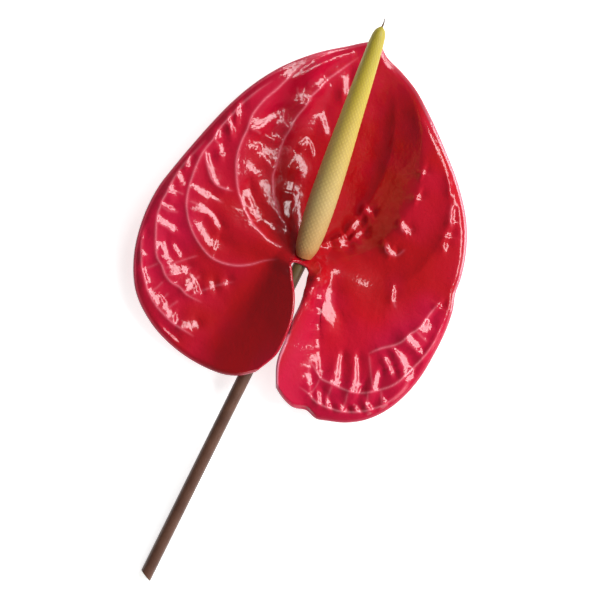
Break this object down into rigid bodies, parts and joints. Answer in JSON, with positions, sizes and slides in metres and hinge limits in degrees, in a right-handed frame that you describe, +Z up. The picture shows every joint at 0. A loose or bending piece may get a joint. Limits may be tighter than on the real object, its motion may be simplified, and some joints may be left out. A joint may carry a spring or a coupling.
{
  "type": "cut anthurium flower",
  "caption": "Cut anthurium flower lying face up: glossy red heart-shaped spathe, cream to yellow spadix and a brown stem.",
  "frame": {"origin": "middle of the flower's footprint, on the surface that it lies on", "axes": "+Z up, the stem lies along -Y and the tip of the spathe points to +Y, +X to the right when seen from above with the tip away from the viewer"},
  "size_m": [0.1202, 0.223, 0.0398],
  "materials": {
    "stem": "smooth satin plant stalk, olive near the flower and dark brown below",
    "spathe": "wax-gloss crimson bract with raised veins and quilted cells, paler and duller on the back",
    "spadix": "fine diamond pattern of tiny florets, cream at the base turning yellow-green at the tip"
  },
  "bodies": {
    "root": {"stem": "stem", "spathe": "spathe", "spadix": "spadix"}
  },
  "joints": []
}
